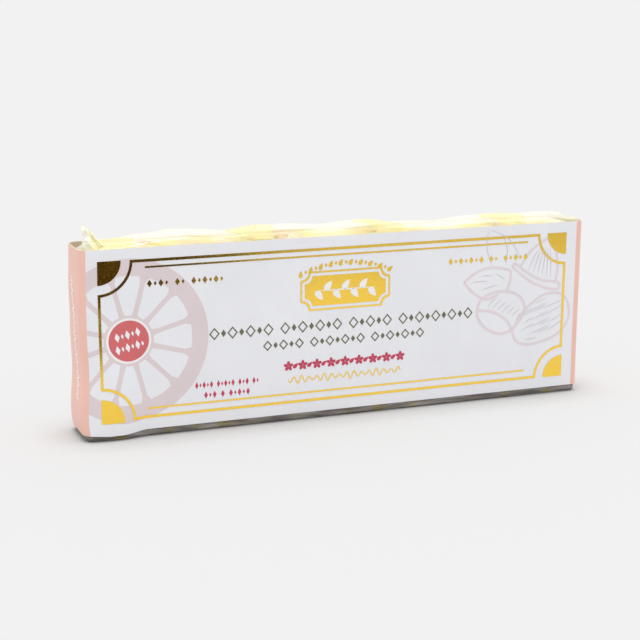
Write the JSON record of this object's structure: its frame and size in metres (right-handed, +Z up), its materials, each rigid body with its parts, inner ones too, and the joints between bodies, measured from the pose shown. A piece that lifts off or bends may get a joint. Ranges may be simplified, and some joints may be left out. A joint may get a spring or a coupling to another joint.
{
  "type": "nougat bar",
  "caption": "Soft almond nougat bar in clear film, standing on its long edge, with a printed paper band round its front, ends and back.",
  "frame": {"origin": "middle of the footprint, on the surface that the bar stands on", "axes": "+X along the bar, to the right as seen from the printed front; +Y through its thickness, from the front to the back; +Z up"},
  "size_m": [0.1529, 0.0184, 0.0584],
  "materials": {
    "paper": "smooth coated card, satin, printed",
    "nougat": "soft cream nougat with almond pieces, slightly waxy",
    "film": "clear glossy wrapping film, crumpled",
    "gold_foil": "hot-stamped gold foil, glossy",
    "ink": "flat printed ink"
  },
  "bodies": {
    "root": {"wrapped_bar": "nougat", "band": "paper"}
  },
  "joints": []
}
